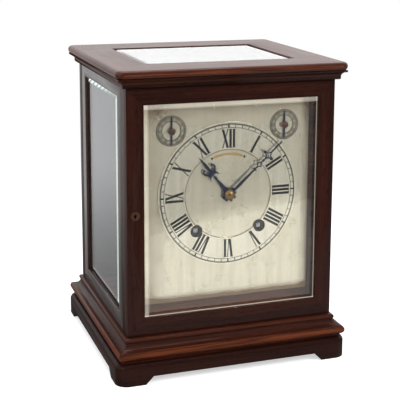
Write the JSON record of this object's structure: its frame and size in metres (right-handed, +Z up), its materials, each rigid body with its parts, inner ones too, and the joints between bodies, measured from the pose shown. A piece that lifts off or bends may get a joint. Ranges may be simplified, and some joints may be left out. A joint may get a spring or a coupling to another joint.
{
  "type": "mantel clock",
  "caption": "Rectangular mahogany mantel clock with bevelled glass on all sides, a silvered dial, opening doors, hands and a striking movement on a moulded plinth.",
  "frame": {"origin": "on the surface that the clock stands on, under the middle of the case", "axes": "+X to the right as the dial is looked at, +Y to the back, +Z up"},
  "size_m": [0.215, 0.205, 0.2716],
  "materials": {
    "mahogany": "dark red-brown mahogany, french polished",
    "glass": "clear bevelled plate",
    "brass": "lacquered turned brass",
    "silvered_brass": "silvered and waxed brass, warm with age",
    "blued_steel": "blued and polished",
    "steel": "polished steel",
    "dark_brass": "dark patinated brass"
  },
  "bodies": {
    "case": {"plinth": "mahogany", "base_moulding": "mahogany", "cornice_moulding": "mahogany", "base_board": "mahogany", "top_frame": "mahogany", "left_side_frame": "mahogany", "right_side_frame": "mahogany", "seat_board": "mahogany", "dial_surround": "mahogany", "case_glass_beads": "mahogany", "left_glass": "glass", "right_glass": "glass", "top_glass": "glass", "case_hinge_leaves": "brass", "front_plate": "brass", "back_plate": "brass", "pillars": "brass", "pendulum_cock": "brass", "gong_stand": "brass", "dial_plate": "silvered_brass", "chapter_ring": "silvered_brass", "subdial_rings": "silvered_brass", "gong": "blued_steel"},
    "front_door": {"front_door_frame": "mahogany", "front_glass": "glass", "front_glass_beads": "mahogany", "front_door_hinge_leaves": "brass", "lock_case": "brass", "escutcheon": "dark_brass"},
    "lock_bolt": {"lock_bolt": "steel"},
    "rear_door": {"rear_door_frame": "mahogany", "rear_glass": "glass", "rear_glass_beads": "mahogany", "rear_door_hinge_leaves": "brass", "rear_door_knob": "brass"},
    "centre_arbor": {"centre_wheel": "brass", "cannon_pinion": "steel", "minute_hand": "blued_steel", "hand_boss": "brass"},
    "minute_wheel": {"minute_wheel": "brass"},
    "hour_wheel": {"hour_wheel": "brass", "hour_hand": "blued_steel"},
    "intermediate_wheel": {"intermediate_wheel": "brass"},
    "going_barrel": {"going_barrel": "brass", "going_mainspring": "blued_steel"},
    "going_winding_arbor": {"going_winding_arbor": "steel"},
    "third_wheel": {"third_wheel": "brass"},
    "escape_wheel": {"escape_wheel": "brass"},
    "pendulum": {"pendulum_rod": "steel", "pendulum_bob": "brass"},
    "anchor": {"anchor": "steel"},
    "strike_barrel": {"strike_barrel": "brass", "strike_mainspring": "blued_steel"},
    "strike_winding_arbor": {"strike_winding_arbor": "steel"},
    "pin_wheel": {"pin_wheel": "brass"},
    "fly": {"fly": "brass"},
    "gong_hammer": {"gong_hammer": "steel"},
    "strike_silent_hand": {"strike_silent_hand": "blued_steel"},
    "slow_fast_hand": {"slow_fast_hand": "blued_steel"}
  },
  "joints": [
    {"name": "front_door_hinge", "type": "hinge", "parent": "case", "child": "front_door", "pos_m": [0.097, -0.073, 0.1475], "axis": [0, 0, 1], "range_deg": [0, 110]},
    {"name": "rear_door_hinge", "type": "hinge", "parent": "case", "child": "rear_door", "pos_m": [0.097, 0.079, 0.1475], "axis": [0, 0, -1], "range_deg": [0, 110]},
    {"name": "lock_bolt_slide", "type": "slide", "parent": "front_door", "child": "lock_bolt", "axis": [0, 1, 0], "range_m": [0, 0.004]},
    {"name": "minute_hand_turn", "type": "hinge", "parent": "case", "child": "centre_arbor", "pos_m": [0, -0.06, 0.1565], "axis": [0, 1, 0], "continuous": true},
    {"name": "minute_wheel_turn", "type": "hinge", "parent": "case", "child": "minute_wheel", "pos_m": [0, -0.06, 0.1445], "axis": [0, 1, 0], "continuous": true},
    {"name": "hour_hand_turn", "type": "hinge", "parent": "case", "child": "hour_wheel", "pos_m": [0, -0.06, 0.1565], "axis": [0, 1, 0], "continuous": true},
    {"name": "intermediate_turn", "type": "hinge", "parent": "case", "child": "intermediate_wheel", "pos_m": [0.01785, -0.035, 0.15417], "axis": [0, 1, 0], "continuous": true},
    {"name": "going_barrel_turn", "type": "hinge", "parent": "case", "child": "going_barrel", "pos_m": [0.0295, -0.035, 0.1249], "axis": [0, 1, 0], "continuous": true},
    {"name": "third_wheel_turn", "type": "hinge", "parent": "case", "child": "third_wheel", "pos_m": [0.00185, -0.035, 0.17408], "axis": [0, 1, 0], "continuous": true},
    {"name": "escape_wheel_turn", "type": "hinge", "parent": "case", "child": "escape_wheel", "pos_m": [0, -0.035, 0.19167], "axis": [0, 1, 0], "continuous": true},
    {"name": "going_winding", "type": "hinge", "parent": "case", "child": "going_winding_arbor", "pos_m": [0.0295, -0.035, 0.1249], "axis": [0, 1, 0], "continuous": true},
    {"name": "pendulum_swing", "type": "hinge", "parent": "case", "child": "pendulum", "pos_m": [0, -0.005, 0.214], "axis": [0, 1, 0], "range_deg": [-4, 4]},
    {"name": "anchor_swing", "type": "hinge", "parent": "case", "child": "anchor", "pos_m": [0, -0.03, 0.214], "axis": [0, 1, 0], "range_deg": [-4, 4]},
    {"name": "strike_barrel_turn", "type": "hinge", "parent": "case", "child": "strike_barrel", "pos_m": [-0.0295, -0.035, 0.1249], "axis": [0, 1, 0], "continuous": true},
    {"name": "pin_wheel_turn", "type": "hinge", "parent": "case", "child": "pin_wheel", "pos_m": [-0.01785, -0.035, 0.15417], "axis": [0, 1, 0], "continuous": true},
    {"name": "fly_turn", "type": "hinge", "parent": "case", "child": "fly", "pos_m": [-0.02647, -0.035, 0.16802], "axis": [0, 1, 0], "continuous": true},
    {"name": "strike_winding", "type": "hinge", "parent": "case", "child": "strike_winding_arbor", "pos_m": [-0.0295, -0.035, 0.1249], "axis": [0, 1, 0], "continuous": true},
    {"name": "hammer_lift", "type": "hinge", "parent": "case", "child": "gong_hammer", "pos_m": [-0.048, -0.02, 0.176], "axis": [0, 1, 0], "range_deg": [0, 14], "stiffness_Nm_per_rad": 0.004, "springref_deg": -17.19},
    {"name": "strike_silent_turn", "type": "hinge", "parent": "case", "child": "strike_silent_hand", "pos_m": [-0.0521, -0.072, 0.2156], "axis": [0, 1, 0], "range_deg": [-60, 60]},
    {"name": "slow_fast_turn", "type": "hinge", "parent": "case", "child": "slow_fast_hand", "pos_m": [0.0521, -0.072, 0.2156], "axis": [0, 1, 0], "range_deg": [-80, 80]}
  ],
  "couplings": [
    {"joint": "minute_wheel_turn", "follows": "minute_hand_turn", "ratio": -0.33333},
    {"joint": "hour_hand_turn", "follows": "minute_hand_turn", "ratio": 0.083333},
    {"joint": "intermediate_turn", "follows": "minute_hand_turn", "ratio": -0.25},
    {"joint": "going_barrel_turn", "follows": "minute_hand_turn", "ratio": 0.041667},
    {"joint": "third_wheel_turn", "follows": "minute_hand_turn", "ratio": -12},
    {"joint": "escape_wheel_turn", "follows": "minute_hand_turn", "ratio": 144},
    {"joint": "anchor_swing", "follows": "pendulum_swing", "ratio": 1},
    {"joint": "strike_barrel_turn", "follows": "pin_wheel_turn", "ratio": -0.16667},
    {"joint": "fly_turn", "follows": "pin_wheel_turn", "ratio": -7.5}
  ]
}
